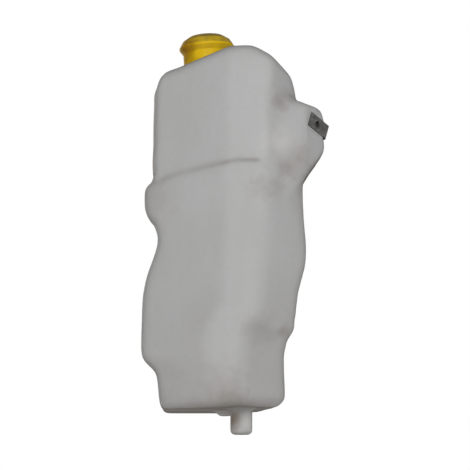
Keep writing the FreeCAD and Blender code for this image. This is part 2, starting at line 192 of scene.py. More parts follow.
def make_floor():
    place = (0, 0, cad_low.z - FLOOR_GAP)
    bpy.ops.mesh.primitive_circle_add(
        vertices=FLOOR_SIDES, radius=FLOOR_RADIUS, fill_type="NGON", location=place
    )
    floor = bpy.context.object
    floor.name = "floor"
    material, tree, shader = new_material("pale_floor")
    shader.inputs["Base Color"].default_value = FLOOR_COLOUR
    shader.inputs["Roughness"].default_value = FLOOR_ROUGHNESS
    shader.inputs["Emission Color"].default_value = WHITE
    shader.inputs["Emission Strength"].default_value = FLOOR_GLOW
    geometry = add_node(tree, "ShaderNodeNewGeometry")
    clear = add_node(tree, "ShaderNodeBsdfTransparent")
    mix = add_node(tree, "ShaderNodeMixShader")
    join(tree, geometry.outputs["Backfacing"], mix.inputs[0])
    join(tree, shader.outputs[0], mix.inputs[1])
    join(tree, clear.outputs[0], mix.inputs[2])
    join(tree, mix.outputs[0], tree.nodes["Material Output"].inputs["Surface"])
    floor.data.materials.append(material)


def make_world():
    world = bpy.data.worlds.new("daylight")
    world.use_nodes = True
    tree = world.node_tree
    tree.nodes.clear()
    path = add_node(tree, "ShaderNodeLightPath")
    seen = path.outputs["Is Camera Ray"]
    for kind in ("Is Glossy Ray", "Is Transmission Ray"):
        seen = combine(tree, "MAXIMUM", seen, path.outputs[kind])
    light = add_node(tree, "ShaderNodeBackground", Strength=WORLD_LIGHT)
    white = add_node(tree, "ShaderNodeBackground", Color=WHITE, Strength=1.0)
    mix = add_node(tree, "ShaderNodeMixShader")
    output = add_node(tree, "ShaderNodeOutputWorld")
    join(tree, seen, mix.inputs[0])
    join(tree, light.outputs[0], mix.inputs[1])
    join(tree, white.outputs[0], mix.inputs[2])
    join(tree, mix.outputs[0], output.inputs["Surface"])
    scene.world = world


make_floor()
make_world()
print("floor", FLOOR_RADIUS, "m round, world light", WORLD_LIGHT)

# %% [markdown]
# ## Lamps
# The left and right facets are nearly alike, the front band is the brightest, and slanting roofs and
# undersides are darker, so the light comes from near the camera: one large soft window, a little to
# the right and a little above. It stands close, so the top of the tank gets more of it than the foot.
# A second, weaker lamp behind shows the back to anyone who walks round the tank.

# %% Lamps
WINDOW_PLACE = Vector((0.1, -1.75, 0.47))
WINDOW_SIZE = 1.0
WINDOW_POWER = 23.8
BACK_PLACE = Vector((-0.5, 1.7, 0.7))
BACK_SIZE = 1.2
BACK_POWER = 13.0


def add_lamp(name, place, aim, size, power):
    """A square soft lamp that points at a place on the tank."""
    data = bpy.data.lights.new(name, "AREA")
    data.size = size
    data.energy = power
    lamp = bpy.data.objects.new(name, data)
    lamp.location = place
    lamp.rotation_euler = (Vector(aim) - Vector(place)).to_track_quat("-Z", "Y").to_euler()
    scene.collection.objects.link(lamp)


tank_middle = (cad_low + cad_high) / 2
add_lamp("window", WINDOW_PLACE, tank_middle, WINDOW_SIZE, WINDOW_POWER)
add_lamp("back_lamp", BACK_PLACE, tank_middle, BACK_SIZE, BACK_POWER)

# %% [markdown]
# ## Tank skin
# A blow-moulded tank has no hard edges: hot plastic is blown against a cold mould and stretches round
# every corner. The solid model has the true sizes but meets itself in sharp lines. So its outer skin
# is taken, turned into an even grid of small faces and relaxed until the corners flow, with the
# neck, the peg and the spring nut's pocket kept crisp.

# %% Outer skin of the tank
WELD = 0.01 * MM
BORE_SLACK = 0.3 * MM
NECK_DEPTH = 45 * MM
PUMP_SEAT_RADIUS = 10.5 * MM
PUMP_SEAT_DEPTH = 8 * MM

record = frame["record"]
mounts = {mount["name"]: mount for mount in record["mounts"]}
openings = {opening["name"]: opening for opening in record["physics"]["openings"]}
neck_axis = Vector(frame["joints"][0]["axis"]).normalized()


def off_axis(point, base, axis):
    """Distance of a point from a line, and its height along the line."""
    along = (point - base).dot(axis)
    return (point - base - axis * along).length, along


def welded(node):
    """A node's mesh with the seams between its faces closed."""
    mesh = bmesh.new()
    mesh.from_mesh(nodes[node].data)
    bmesh.ops.remove_doubles(mesh, verts=mesh.verts, dist=WELD)
    mesh.faces.ensure_lookup_table()
    return mesh


def find_mouth():
    """Centre of the filler neck's rim and the radius of its bore."""
    mesh = welded("tank")
    top = max(vert.co.dot(neck_axis) for vert in mesh.verts)
    rim = [vert.co.copy() for vert in mesh.verts if vert.co.dot(neck_axis) > top - WELD]
    centre = sum(rim, Vector()) / len(rim)
    mesh.free()
    return centre, min(off_axis(point, centre, neck_axis)[0] for point in rim)


neck_point, neck_bore = find_mouth()
print("bore radius of the neck", round(neck_bore / MM, 2), "mm")


def tank_skin():
    """The tank's mesh without the walls of its cavity: the neck and the pump hole end blind."""
    mesh = welded("tank")
    pump = mounts["pump_bore"]
    pump_point, pump_axis = Vector(pump["pos_m"]), Vector(pump["axis"])
    kept = set()
    for face in mesh.faces:
        centre = face.calc_center_median()
        radius, height = off_axis(centre, neck_point, neck_axis)
        if radius < neck_bore + BORE_SLACK and height > -NECK_DEPTH:
            kept.add(face.index)
        radius, height = off_axis(centre, pump_point, pump_axis)
        if radius < PUMP_SEAT_RADIUS and abs(height) < PUMP_SEAT_DEPTH:
            kept.add(face.index)
    low, high = openings["tank_cavity"]["box_m"]
    inside = (Vector(low) + Vector(high)) / 2
    seed = BVHTree.FromBMesh(mesh).ray_cast(inside, Vector((-1, 0, 0)))[2]
    cavity = {seed}
    edge_of_search = [mesh.faces[seed]]
    while edge_of_search:
        face = edge_of_search.pop()
        for edge in face.edges:
            for neighbour in edge.link_faces:
                if neighbour.index not in cavity and neighbour.index not in kept:
                    cavity.add(neighbour.index)
                    edge_of_search.append(neighbour)
    bmesh.ops.delete(mesh, geom=[mesh.faces[i] for i in cavity], context="FACES")
    open_edges = [edge for edge in mesh.edges if edge.is_boundary]
    bmesh.ops.holes_fill(mesh, edges=open_edges, sides=0)
    print("cavity faces", len(cavity), "skin faces", len(mesh.faces))
    data = bpy.data.meshes.new("tank_skin")
    mesh.to_mesh(data)
    mesh.free()
    return data


skin = tank_skin()

# %% [markdown]
# ## Soft corners
# A grid of small even faces is laid over the skin, and its points are moved towards their neighbours
# many times, which rounds every corner. A weight on each point says how freely it moves. Some corners
# flowed together while the plastic was hot, at the root of the lug and along the front of the foot, so
# these relax further.

# %% Even grid and soft corners
VOXEL = 1.7 * MM
SOFT_PASSES = 60
CREASE_HEIGHT = 239 * MM
CREASE_SLOPE = 0.177
CREASE_REACH = 12 * MM
CREASE_FREEDOM = 0.2
NECK_FREEDOM = 0.12
PEG_FREEDOM = 0.25
LEAST_FREEDOM = 0.06
PUMP_SEAT_RIM = 1.8
SMOOTHING = 0.5
LUG_ROOT_LINE = [(39, -43, 300), (46, -36, 205)]
LUG_ROOT_REACH = 26 * MM
FOOT_EDGE_HEIGHT = 4 * MM
FOOT_EDGE_REACH = 20 * MM
FOOT_EDGE_START = -15 * MM
MELT_PASSES = 260
CRISP_NECK = 27 * MM
POCKET_RADIUS = 15 * MM
PEG_ROOT = 4 * MM
BACK_START = [-10 * MM, 15 * MM]
BACK_FIRMNESS = [1.0, 0.35]


def new_piece(name, data):
    piece = bpy.data.objects.new(name, data)
    scene.collection.objects.link(piece)
    return piece


def settle(piece):
    """Replace a piece's mesh by what its modifiers make of it."""
    shaped = bpy.data.meshes.new_from_object(piece.evaluated_get(bpy.context.evaluated_depsgraph_get()))
    piece.modifiers.clear()
    piece.data = shaped


def distances(points, base, axis):
    """Distance of each point from a line, and its height along the line."""
    along = (points - np.array(base)) @ np.array(axis)
    nearest = np.array(base) + along[:, None] * np.array(axis)
    return np.linalg.norm(points - nearest, axis=1), along


def box_middle(node):
    low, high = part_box(node)
    return (low + high) / 2


def above_crease(points):
    """Height of each point above the crease of the solid model."""
    return points[:, 2] - CREASE_HEIGHT - CREASE_SLOPE * points[:, 0]


def softness(points):
    """How freely points of the skin relax: less on the back and at each part that must stay crisp."""
    crease = np.abs(above_crease(points)) / CREASE_REACH
    free = np.where(crease < 1, CREASE_FREEDOM + (1 - CREASE_FREEDOM) * crease ** 2, 1.0)
    radius, height = distances(points, neck_point, neck_axis)
    free[(radius < CRISP_NECK) & (height > -CRISP_NECK)] = NECK_FREEDOM
    near_nut = np.linalg.norm(points - np.array(box_middle("spring_nut")), axis=1)
    free = np.minimum(free, (near_nut - POCKET_RADIUS) / POCKET_RADIUS)
    pump = mounts["pump_bore"]
    radius, height = distances(points, pump["pos_m"], pump["axis"])
    seat = np.where(np.abs(height) < PUMP_SEAT_DEPTH * 2, radius / PUMP_SEAT_RADIUS - PUMP_SEAT_RIM, 1.0)
    free = np.minimum(free, seat)
    free[points[:, 2] < -PEG_ROOT] = PEG_FREEDOM
    free *= np.interp(points[:, 1], BACK_START, BACK_FIRMNESS)
    return np.clip(free, LEAST_FREEDOM, 1.0)


def melting(points):
    """How much further points relax at the root of the lug and along the front edge of the foot."""
    start, end = (np.array(place) * MM for place in LUG_ROOT_LINE)
    run = end - start
    share = np.clip((points - start) @ run / (run @ run), 0, 1)
    away = np.linalg.norm(points - start - share[:, None] * run, axis=1)
    root = 1 - away / LUG_ROOT_REACH
    foot = 1 - np.abs(points[:, 2] - FOOT_EDGE_HEIGHT) / FOOT_EDGE_REACH
    ahead = np.clip((FOOT_EDGE_START - points[:, 1]) / FOOT_EDGE_REACH, 0, 1)
    return np.clip(np.maximum(root, foot * ahead), 0, 1)


def all_points(data):
    points = np.empty(len(data.vertices) * 3)
    data.vertices.foreach_get("co", points)
    return points.reshape(-1, 3)


tank = new_piece("tank_shell", skin)
grid = tank.modifiers.new("grid", "REMESH")
grid.mode = "VOXEL"
grid.voxel_size = VOXEL
settle(tank)


def relax(piece, name, weights, passes):
    """Relax a piece's points towards their neighbours, each as freely as its weight says."""
    group = piece.vertex_groups.new(name=name)
    weights = np.round(weights, 2)
    for weight in np.unique(weights[weights > 0]):
        group.add(np.flatnonzero(weights == weight).tolist(), float(weight), "REPLACE")
    smooth = piece.modifiers.new(name, "SMOOTH")
    smooth.factor = SMOOTHING
    smooth.iterations = passes
    smooth.vertex_group = name


grid_points = all_points(tank.data)
relax(tank, "soft", softness(grid_points), SOFT_PASSES)
relax(tank, "melt", melting(grid_points), MELT_PASSES)
settle(tank)
tank.data.shade_smooth()
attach(tank, "reservoir")
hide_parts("tank")
print("tank faces", len(tank.data.polygons))

# %% [markdown]
# ## Crease
# The lower body overhangs the upper body like a brow, and the two meet in a crease across the front. It
# rises in a gentle arch between its ends, so the skin near it is drawn up a little, most in the middle.

# %% Arch of the crease
CREASE_LIFT = 4.5 * MM
CREASE_LIFT_REACH = 34 * MM
CREASE_MIDDLE = -33 * MM
CREASE_HALF = 58 * MM
ARCH_STEEPNESS = 1.8
FRONT_SIDE = -15 * MM


def eased(share):
    """A share that starts and ends gently between 0 and 1."""
    share = np.clip(share, 0, 1)
    return share * share * (3 - 2 * share)


def crease_lift(points):
    """How far the crease is drawn up at each point's place across the front."""
    across = eased(ARCH_STEEPNESS * (1 - np.abs(points[:, 0] - CREASE_MIDDLE) / CREASE_HALF))
    return CREASE_LIFT * across * (points[:, 1] < FRONT_SIDE)


tank_points = all_points(tank.data)
near_crease = eased(1 - np.abs(above_crease(tank_points)) / CREASE_LIFT_REACH)
tank_points[:, 2] += crease_lift(tank_points) * near_crease
print("crease drawn up by", round(float(crease_lift(tank_points).max()) / MM, 2), "mm")

# %% [markdown]
# ## Fuller places
# Plastic shrinks as it cools, and thick places shrink more than thin ones, so a tank never has quite
# the form of its mould. A few flat bulges and hollows, up to four millimetres, bring the sides and the
# sole to the outline of the real tank, and the top of the fixing lug rises a little above the spring
# nut. The front corner on the left of the upper body is flattened, so that a narrow strip of its side
# shows from the front. The skin is kept inside the box of the solid model.

# %% Bulges
BULGES = {
    -1: [(336, 28, 4.2), (280, 70, 1.6), (246, 26, 1.4), (180, 16, 1.0), (138, 28, 1.6), (64, 26, 0.4)],
    1: [(334, 26, 2.2), (240, 24, -1.0), (160, 36, 1.6), (77, 12, 2.2), (0, 10, -3.0)],
}
SIDE_START = {-1: -60 * MM, 1: 8 * MM}
SIDE_RUN = 24 * MM
SOLE_DROP = 1.2 * MM
SOLE_REACH = 14 * MM
STRIP_DEPTH = 3.2 * MM
STRIP_PLACE = -15 * MM
STRIP_REACH = 18 * MM
STRIP_START = -70 * MM
STRIP_LOW = 226 * MM
STRIP_HIGH = 350 * MM
STRIP_FADE = 14 * MM
LUG_RISE = 3.6 * MM
LUG_PLACE = 78 * MM
LUG_REACH = 17 * MM
LUG_START = 284 * MM
LUG_FADE = 12 * MM


def fill_out(points):
    """Bulges on the left, -1, and the right, 1, each with height, reach and rise in millimetres."""
    for side, places in BULGES.items():
        beside = eased(side * (points[:, 0] - SIDE_START[side]) / SIDE_RUN)
        for height, reach, rise in places:
            near = eased(1 - np.abs(points[:, 2] / MM - height) / reach)
            points[:, 0] += side * rise * MM * beside * near
    sole = eased(1 - np.abs(points[:, 2]) / SOLE_REACH) * eased(-points[:, 0] / SIDE_RUN)
    points[:, 2] -= SOLE_DROP * sole


def flatten_corner(points):
    """The strip along the left front corner of the upper body, pressed in."""
    beside = eased((STRIP_START - points[:, 0]) / STRIP_FADE)
    near = eased(1 - np.abs(points[:, 1] - STRIP_PLACE) / STRIP_REACH)
    above = eased((points[:, 2] - STRIP_LOW) / STRIP_FADE)
    below = eased((STRIP_HIGH - points[:, 2]) / STRIP_FADE)
    points[:, 0] += STRIP_DEPTH * beside * near * above * below


def raise_lug(points):
    """The top of the fixing lug near its end, drawn up above the spring nut."""
    near = eased(1 - np.abs(points[:, 0] - LUG_PLACE) / LUG_REACH)
    points[:, 2] += LUG_RISE * near * eased((points[:, 2] - LUG_START) / LUG_FADE)


def move_points(data, points):
    """Move a mesh's points to new places, kept inside the box of the solid model."""
    points = np.clip(points, np.array(cad_low), np.array(cad_high))
    data.vertices.foreach_set("co", points.ravel())
    data.update()
    return points


fill_out(tank_points)
flatten_corner(tank_points)
raise_lug(tank_points)
tank_points = move_points(tank.data, tank_points)
print("tank reaches from", tank_points.min(axis=0).round(4), "to", tank_points.max(axis=0).round(4))

# %% [markdown]
# ## Parting seam
# The two halves of a blow mould meet in a plane, and a little hot plastic creeps into the joint. It
# leaves a fine raised line round the tank. Here the skin is cut with that plane and a thin ridge follows
# the cut. The neck is finished by another tool, so the ridge stops short of it, and of the nut's pocket.

# %% Parting seam
SEAM_PLACE = 4 * MM
SEAM_RADIUS = 0.35 * MM
NECK_CLEAR = 26 * MM


def seam_paths():
    """The lines in which the parting plane cuts the skin, away from the neck and the spring nut."""
    mesh = bmesh.new()
    mesh.from_mesh(tank.data)
    everything = mesh.verts[:] + mesh.edges[:] + mesh.faces[:]
    cut = bmesh.ops.bisect_plane(mesh, geom=everything, plane_co=(0, SEAM_PLACE, 0), plane_no=(0, 1, 0))
    edges = [part for part in cut["geom_cut"] if isinstance(part, bmesh.types.BMEdge)]
    nut_middle = box_middle("spring_nut")
    near = {}
    for edge in edges:
        middle = (edge.verts[0].co + edge.verts[1].co) / 2
        radius, height = off_axis(middle, neck_point, neck_axis)
        at_neck = radius < NECK_CLEAR and height > -NECK_DEPTH
        if not at_neck and (middle - nut_middle).length > POCKET_RADIUS:
            for here, there in (edge.verts, reversed(edge.verts)):
                near.setdefault(here, []).append(there)
    paths = []
    while near:
        start = next((vert for vert in near if len(near[vert]) == 1), next(iter(near)))
        path = [start]
        while near.get(path[-1]):
            step = near[path[-1]].pop()
            near[step].remove(path[-1])
            path.append(step)
        near = {vert: ends for vert, ends in near.items() if ends}
        paths.append([vert.co.copy() for vert in path])
    mesh.free()
    return paths


def seam_piece(paths):
    """A thin round ridge along each path, as one piece."""
    curve = bpy.data.curves.new("parting_seam", "CURVE")
    curve.dimensions = "3D"
    curve.bevel_depth = SEAM_RADIUS
    curve.bevel_resolution = 1
    curve.use_fill_caps = True
    for path in paths:
        spline = curve.splines.new("POLY")
        spline.points.add(len(path) - 1)
        spline.points.foreach_set("co", [part for point in path for part in (*point, 1.0)])
    drawn = bpy.data.objects.new("parting_line", curve)
    scene.collection.objects.link(drawn)
    shape = drawn.evaluated_get(bpy.context.evaluated_depsgraph_get())
    piece = new_piece("parting_seam", bpy.data.meshes.new_from_object(shape))
    bpy.data.objects.remove(drawn)
    move_points(piece.data, all_points(piece.data))
    piece.data.shade_smooth()
    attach(piece, "reservoir")
    return piece


seam = seam_piece(seam_paths())
print("seam faces", len(seam.data.polygons))

# %% [markdown]
# ## Where dirt and shade settle
# Dirt stays in hollows and shade falls there, and the material darkens them for both. A copy of the skin that is
# relaxed much further lies outside the skin in a hollow and inside it on a ridge, so the distance between the two,
# along the normal, says how hollow a place is. The crease is darkened with dirt and painted shade, the more the
# nearer it comes to the lug. The result is kept on the mesh, and the material reads it.

# %% Measure the hollows
HOLLOW_PASSES = 16
HOLLOW_DEPTH = 0.5 * MM
HOLLOW_SHARE = 0.5
CREASE_LINE_WIDTH = 2.6 * MM
CREASE_LINE_START = -84 * MM
CREASE_LINE_END = 22 * MM
CREASE_LINE_FADE = 8 * MM
CREASE_LINE_LEAST = 0.25
HOLLOW_SEEN = 0.3


def hollows(data):
    """How deep each point lies in a hollow of the skin: 0 on flats and ridges, 1 in a sharp crease."""
    points = all_points(data)
    ends = np.empty(len(data.edges) * 2, dtype=np.int32)
    data.edges.foreach_get("vertices", ends)
    here = ends
    there = ends.reshape(-1, 2)[:, ::-1].ravel()
    neighbours = np.bincount(here, minlength=len(points))
    relaxed = points
    for _ in range(HOLLOW_PASSES):
        sums = [np.bincount(here, relaxed[there, axis], len(points)) for axis in range(3)]
        relaxed = np.stack(sums, axis=1) / neighbours[:, None]
    normals = np.empty(len(points) * 3)
    data.vertex_normals.foreach_get("vector", normals)
    depth = ((relaxed - points) * normals.reshape(-1, 3)).sum(axis=1)
    return np.clip(depth / HOLLOW_DEPTH, 0, 1)


def crease_dirt_and_shade(points):
    """Dirt and painted shade along the arched crease, from a trace at its left end to a dark line at its right
    end.
    """
    off = above_crease(points) - crease_lift(points)
    line = np.exp(-(off / CREASE_LINE_WIDTH) ** 2) * (points[:, 1] < FRONT_SIDE)
    run = (points[:, 0] - CREASE_LINE_START) / (CREASE_LINE_END - CREASE_LINE_START)
    ends = eased((CREASE_LINE_END - points[:, 0]) / CREASE_LINE_FADE)
    ends = ends * eased((points[:, 0] - CREASE_LINE_START) / CREASE_LINE_FADE)
    return line * ends * (CREASE_LINE_LEAST + (1 - CREASE_LINE_LEAST) * np.clip(run, 0, 1) ** 2)


hollow = tank.data.attributes.new("hollow", "FLOAT", "POINT")
# This value darkens the skin in the material: dirt and painted shade in hollows and along the crease.
depths = np.maximum(hollows(tank.data) * HOLLOW_SHARE, crease_dirt_and_shade(tank_points))
hollow.data.foreach_set("value", depths)
print("share of the skin in a hollow", round(float((depths > HOLLOW_SEEN).mean()), 3))

# %% [markdown]
# ## Rounded edges on the small pieces
# The cap, the nut and the grommet keep their solids. Moulded and stamped edges are never sharp, so the
# faces are welded and a narrow bevel catches the light along each edge.

# %% Bevels
CAP_ROUND = 1.3 * MM
NUT_ROUND = 0.18 * MM
GROMMET_ROUND = 0.5 * MM
SHARP = math.radians(25)


def round_edges(name, width, segments=3):
    """A node whose sharp edges get a narrow round, without a change to its own mesh."""
    piece = nodes[name]
    weld = piece.modifiers.new("weld", "WELD")
    weld.merge_threshold = WELD
    bevel = piece.modifiers.new("round", "BEVEL")
    bevel.width = width
    bevel.segments = segments
    bevel.limit_method = "ANGLE"
    bevel.angle_limit = SHARP
    bevel.harden_normals = True
    piece.data.shade_smooth()
    return piece


cap = round_edges("filler_cap", CAP_ROUND, segments=4)
nut = round_edges("spring_nut", NUT_ROUND)
grommet = round_edges("pump_grommet", GROMMET_ROUND)
print("rounded", cap.name, nut.name, grommet.name)

# %% [markdown]
# ## Shared surface effects
# The same few effects show on every surface of a used object: cloudy patches, fine grain, dirt and painted
# shade in hollows and under overhangs, and edges rubbed bare. Each is a node group, made once and
# used by several materials, so a change to it shows everywhere.

# %% Node group helpers


def new_group(name, inputs, outputs):
    """An empty node group. An input is a name, a kind and a usual value, an output a name and a kind."""
    tree = bpy.data.node_groups.new(name, "ShaderNodeTree")
    for label, kind, value in inputs:
        socket = tree.interface.new_socket(label, in_out="INPUT", socket_type="NodeSocket" + kind)
        socket.default_value = value
    for label, kind in outputs:
        tree.interface.new_socket(label, in_out="OUTPUT", socket_type="NodeSocket" + kind)
    return tree, tree.nodes.new("NodeGroupInput"), tree.nodes.new("NodeGroupOutput")


def use_group(tree, group, **values):
    node = tree.nodes.new("ShaderNodeGroup")
    node.node_tree = group
    for name, value in values.items():
        node.inputs[name.replace("_", " ")].default_value = value
    return node


def remap(tree, value, low, high, to_low=0.0, to_high=1.0):
    """A value moved from one range to another and kept inside it."""
    node = add_node(
        tree, "ShaderNodeMapRange", From_Min=low, From_Max=high, To_Min=to_low, To_Max=to_high
    )
    join(tree, value, node.inputs["Value"])
    return node.outputs["Result"]


def tint(tree, mask, under, over):
    """One colour laid over another where a mask says so."""
    node = add_node(tree, "ShaderNodeMix", data_type="RGBA")
    colours = [socket for socket in node.inputs if socket.type == "RGBA"]
    feed(tree, mask, node.inputs["Factor"])
    feed(tree, under, colours[0])
    feed(tree, over, colours[1])
    return next(socket for socket in node.outputs if socket.type == "RGBA")


# %% [markdown]
# ### Cloudy patches
# Plastic is never one even colour: where it cooled slower or stretched more, it is a shade darker. Soft
# noise makes such patches, and a stretch draws them out upright, the way the plastic was blown.

# %% Cloudy patches


def make_mottling():
    """Cloudy patches: soft noise, drawn out along Z by a stretch, as a mask from 0 to 1."""
    tree, enter, leave = new_group(
        "mottling", [("Scale", "Float", 30.0), ("Stretch", "Float", 1.0)], [("Mask", "Float")]
    )
    place = add_node(tree, "ShaderNodeTexCoord")
    pull = add_node(tree, "ShaderNodeCombineXYZ", X=1.0, Y=1.0)
    join(tree, enter.outputs["Stretch"], pull.inputs["Z"])
    stretched = add_node(tree, "ShaderNodeVectorMath", operation="MULTIPLY")
    join(tree, place.outputs["Object"], stretched.inputs[0])
    join(tree, pull.outputs["Vector"], stretched.inputs[1])
    noise = add_node(tree, "ShaderNodeTexNoise", Detail=4.0, Roughness=0.55)
    join(tree, stretched.outputs["Vector"], noise.inputs["Vector"])
    join(tree, enter.outputs["Scale"], noise.inputs["Scale"])
    join(tree, remap(tree, noise.outputs[0], 0.33, 0.67), leave.inputs["Mask"])
    return tree


mottling = make_mottling()
print("group", mottling.name, len(mottling.nodes), "nodes")

# %% [markdown]
# ### Fine grain
# A mould is sand-blasted, and the plastic takes over its fine pits and also waves a little as it
# shrinks. Both are noise, one fine and one slow, mixed into one height for a bump.

# %% Fine grain


def make_grain():
    """Unevenness of a moulded or coated surface, as a height: fine pits over slow waves."""
    tree, enter, leave = new_group(
        "grain",
        [("Pits", "Float", 700.0), ("Waves", "Float", 70.0), ("Wave Share", "Float", 0.6)],
        [("Height", "Float")],
    )
    place = add_node(tree, "ShaderNodeTexCoord")
    heights = []
    for name in ("Pits", "Waves"):
        noise = add_node(tree, "ShaderNodeTexNoise", Detail=2.0)
        join(tree, place.outputs["Object"], noise.inputs["Vector"])
        join(tree, enter.outputs[name], noise.inputs["Scale"])
        heights.append(noise.outputs[0])
    mix = add_node(tree, "ShaderNodeMix")
    join(tree, enter.outputs["Wave Share"], mix.inputs["Factor"])
    join(tree, heights[0], mix.inputs["A"])
    join(tree, heights[1], mix.inputs["B"])
    join(tree, mix.outputs["Result"], leave.inputs["Height"])
    return tree


grain = make_grain()
print("group", grain.name, len(grain.nodes), "nodes")

# %% [markdown]
# ### Dirt and painted shade
# Road spray sticks under overhangs, dust lies on top, and both stay in hollows. The same mask also paints
# shade: hollows, creases and undersides darker, and on the cap the top. The normal says which
# way a surface looks, so its upright part gives the first two, and each material sets how much it has.

# %% Dirt and painted shade


def make_dirt_and_shade():
    """Dirt and painted shade in hollows, under overhangs and on top, broken up by noise, as a mask."""
    inputs = [("Hollow", 0.0), ("Under", 0.5), ("Over", 0.3), ("Scale", 45.0)]
    tree, enter, leave = new_group(
        "dirt_and_painted_shade", [(name, "Float", value) for name, value in inputs], [("Mask", "Float")]
    )
    geometry = add_node(tree, "ShaderNodeNewGeometry")
    split = add_node(tree, "ShaderNodeSeparateXYZ")
    join(tree, geometry.outputs["Normal"], split.inputs["Vector"])
    below = remap(tree, split.outputs["Z"], -0.08, -0.75)
    on_top = remap(tree, split.outputs["Z"], 0.2, 0.9)
    under = combine(tree, "MULTIPLY", below, enter.outputs["Under"])
    over = combine(tree, "MULTIPLY", on_top, enter.outputs["Over"])
    most = combine(tree, "MAXIMUM", under, combine(tree, "MAXIMUM", over, enter.outputs["Hollow"]))
    place = add_node(tree, "ShaderNodeTexCoord")
    noise = add_node(tree, "ShaderNodeTexNoise", Detail=5.0, Roughness=0.6)
    join(tree, place.outputs["Object"], noise.inputs["Vector"])
    join(tree, enter.outputs["Scale"], noise.inputs["Scale"])
    patchy = remap(tree, noise.outputs[0], 0.3, 0.65, 0.4, 1.0)
    join(tree, combine(tree, "MULTIPLY", most, patchy), leave.inputs["Mask"])
    return tree


dirt_and_painted_shade = make_dirt_and_shade()
print("group", dirt_and_painted_shade.name, len(dirt_and_painted_shade.nodes), "nodes")

# %% [markdown]
# ### Rubbed edges
# Hands and tools meet the ridges first. Pointiness is how sharply the mesh bends outwards, and noise
# breaks the worn line up, so it doesn't look drawn.

# %% Rubbed edges


def make_rubbing():
    """Edges that hands and tools have rubbed: the sharpest ridges, broken up by noise, as a mask."""
    tree, enter, leave = new_group("rubbed_edges", [("Scale", "Float", 300.0)], [("Mask", "Float")])
    geometry = add_node(tree, "ShaderNodeNewGeometry")
    ridge = remap(tree, geometry.outputs["Pointiness"], 0.51, 0.6)
    place = add_node(tree, "ShaderNodeTexCoord")
    noise = add_node(tree, "ShaderNodeTexNoise", Detail=3.0)
    join(tree, place.outputs["Object"], noise.inputs["Vector"])
    join(tree, enter.outputs["Scale"], noise.inputs["Scale"])
    patchy = remap(tree, noise.outputs[0], 0.38, 0.62)
    join(tree, combine(tree, "MULTIPLY", ridge, patchy), leave.inputs["Mask"])
    return tree


rubbed_edges = make_rubbing()
print("group", rubbed_edges.name, len(rubbed_edges.nodes), "nodes")

# %% [markdown]
# ### Spots
# A spot has a place and a radius and frays at its border; spots serve for stains and for painted light and shade.
# The distance to its place, made ragged by noise, fades from full to nothing.

# %% Spots


def make_spot():
    """One spot round a place on the surface, fading out unevenly, as a mask; it serves stains and painted light
    and shade.
    """
    tree, enter, leave = new_group(
        "stain_and_light_spot", [("Place", "Vector", (0, 0, 0)), ("Radius", "Float", 0.005)], [("Mask", "Float")]
    )
    place = add_node(tree, "ShaderNodeTexCoord")
    away = add_node(tree, "ShaderNodeVectorMath", operation="DISTANCE")
    join(tree, place.outputs["Object"], away.inputs[0])
    join(tree, enter.outputs["Place"], away.inputs[1])
    noise = add_node(tree, "ShaderNodeTexNoise", Scale=90.0, Detail=3.0)
    join(tree, place.outputs["Object"], noise.inputs["Vector"])
    share = combine(tree, "DIVIDE", away.outputs["Value"], enter.outputs["Radius"])
    ragged = combine(tree, "ADD", share, remap(tree, noise.outputs[0], 0.3, 0.7, -0.2, 0.2))
    soft = add_node(tree, "ShaderNodeMapRange", interpolation_type="SMOOTHSTEP")
    soft.inputs["From Min"].default_value = 1.0
    soft.inputs["From Max"].default_value = 0.0
    join(tree, ragged, soft.inputs["Value"])
    join(tree, soft.outputs["Result"], leave.inputs["Mask"])
    return tree


stain_and_light_spot = make_spot()
print("group", stain_and_light_spot.name, len(stain_and_light_spot.nodes), "nodes")

# %% [markdown]
# ## Cloudy polyethylene
# Natural polyethylene is milky: light goes in, scatters and comes out again, so shadows stay soft.
# Where sight meets the wall at a shallow angle it goes through more plastic, which is darker and
# browner. A tinted coat that doesn't reflect does just that, because its tint grows with the way
# through it. The rest is use and painted light: the crease and the undersides darker, partly dirt and partly
# painted shade, the tank darker towards the foot as painted shade, the bolt hole painted dark as shade, and
# spots for stains, painted shade and painted light. A spot has its place and radius in millimetres, its strength
# and its stuff.

